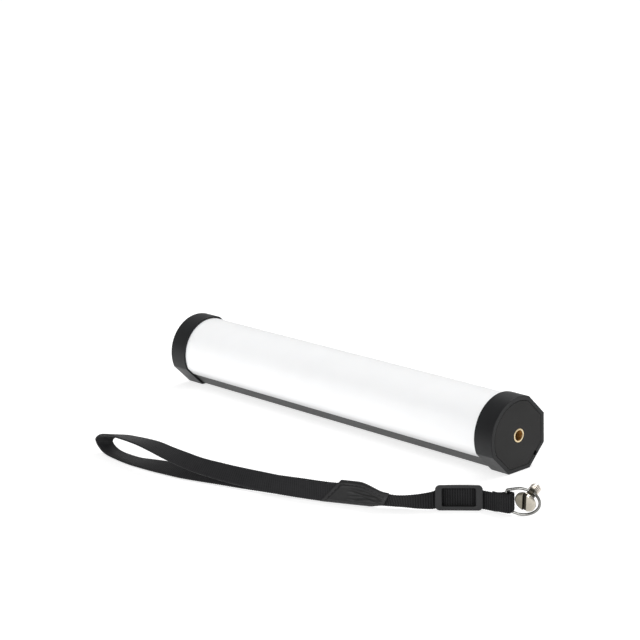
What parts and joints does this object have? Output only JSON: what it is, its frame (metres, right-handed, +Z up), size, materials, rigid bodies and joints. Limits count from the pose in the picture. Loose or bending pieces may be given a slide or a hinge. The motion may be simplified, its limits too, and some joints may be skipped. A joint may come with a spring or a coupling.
{
  "type": "led light tube",
  "caption": "Pocket LED light tube with a milky half-round diffuser, octagonal black end caps with threaded inserts, and a wrist strap with a thumb screw.",
  "frame": {"origin": "on the surface the tube stands on, under the tube's axis at mid-length, at the centre of its resting facet", "axes": "+X along the tube towards its right end, +Y away from the strap, +Z up; the beam points 45 degrees up towards -Y"},
  "size_m": [0.3578, 0.1722, 0.0458],
  "materials": {
    "diffuser_milk": "milky satin polycarbonate",
    "cap_black": "fine matte moulded texture",
    "plate_black": "fine matte moulded texture",
    "spine_black": "black anodised, fine extrusion lines",
    "insert_brass": "turned brass, worn bright on the rim",
    "seal_rubber": "matte silicone",
    "screw_steel": "zinc plated",
    "bare_aluminium": "mill finish",
    "board_white": "white solder mask",
    "board_green": "green solder mask",
    "led_warm": "yellow phosphor in a white package",
    "led_cool": "pale phosphor in a white package",
    "led_rgb": "clear resin in a white package",
    "reflector_white": "bright white film",
    "cell_wrap": "shrink sleeve",
    "tray_black": "moulded",
    "contact_nickel": "nickel strip",
    "component_dark": "moulded component bodies",
    "wire_red": "PVC insulation",
    "wire_amber": "PVC insulation",
    "panel_gloss": "gloss black inlay",
    "window_clear": "clear hard-coated",
    "display_dark": "dark display glass, switched off",
    "button_grey": "soft-touch",
    "switch_white": "moulded",
    "port_steel": "stamped and plated",
    "magnet_nickel": "nickel plated",
    "web_black": "woven nylon, fine cross ribs",
    "patch_leather": "grained, black stitching",
    "buckle_black": "moulded acetal",
    "ring_nickel": "nickel plated wire",
    "thumb_nickel": "nickel plated, handled"
  },
  "bodies": {
    "light": {"diffuser": "diffuser_milk", "spine": "spine_black", "cap_left": "cap_black", "cap_right": "cap_black", "end_plate_left": "plate_black", "end_plate_right": "plate_black", "threaded_insert_left": "insert_brass", "threaded_insert_right": "insert_brass", "gasket_left": "seal_rubber", "gasket_right": "seal_rubber", "cap_screws_left": "screw_steel", "cap_screws_right": "screw_steel", "led_carrier": "bare_aluminium", "led_board": "board_white", "leds_warm": "led_warm", "leds_cool": "led_cool", "leds_rgb": "led_rgb", "reflector": "reflector_white", "board_screws": "screw_steel", "battery_front": "cell_wrap", "battery_rear": "cell_wrap", "battery_tray": "tray_black", "battery_contacts": "contact_nickel", "driver_board": "board_green", "driver_parts": "component_dark", "battery_leads": "wire_red", "led_leads": "wire_amber", "control_panel": "panel_gloss", "display_window": "window_clear", "display_module": "display_dark", "button_board": "board_green", "tact_switches": "switch_white", "usb_port": "port_steel", "usb_tongue": "component_dark", "usb_board": "board_green", "magnet_left": "magnet_nickel", "magnet_right": "magnet_nickel"},
    "button_power": {"button_power": "button_grey"},
    "button_mode": {"button_mode": "button_grey"},
    "button_up": {"button_up": "button_grey"},
    "button_down": {"button_down": "button_grey"},
    "strap": {"strap_loop": "web_black", "strap_patch": "patch_leather", "strap_tail": "web_black"},
    "slider": {"slider_buckle": "buckle_black"},
    "ring": {"d_ring": "ring_nickel"},
    "screw": {"thumb_screw": "thumb_nickel"}
  },
  "joints": [
    {"name": "power_press", "type": "slide", "parent": "light", "child": "button_power", "axis": [0, -0.7071, 0.7071], "range_m": [0, 0.0006], "stiffness_N_per_m": 900},
    {"name": "mode_press", "type": "slide", "parent": "light", "child": "button_mode", "axis": [0, -0.7071, 0.7071], "range_m": [0, 0.0006], "stiffness_N_per_m": 900},
    {"name": "up_press", "type": "slide", "parent": "light", "child": "button_up", "axis": [0, -0.7071, 0.7071], "range_m": [0, 0.0006], "stiffness_N_per_m": 900},
    {"name": "down_press", "type": "slide", "parent": "light", "child": "button_down", "axis": [0, -0.7071, 0.7071], "range_m": [0, 0.0006], "stiffness_N_per_m": 900},
    {"name": "strap_lift", "type": "slide", "parent": "light", "child": "strap", "axis": [0, 0, 1], "range_m": [0, 0.12]},
    {"name": "slider_travel", "type": "slide", "parent": "strap", "child": "slider", "axis": [0.7431, 0.6691, 0], "range_m": [-0.0025, 0]},
    {"name": "ring_swing", "type": "hinge", "parent": "strap", "child": "ring", "pos_m": [0.1911, -0.0591, 0.0084], "axis": [0, 0, 1], "range_deg": [-35, 35]},
    {"name": "screw_swing", "type": "hinge", "parent": "ring", "child": "screw", "pos_m": [0.20425, -0.05325, 0.01459], "axis": [-0.8205, -0.3653, 0.4397], "range_deg": [-5, 25]}
  ]
}
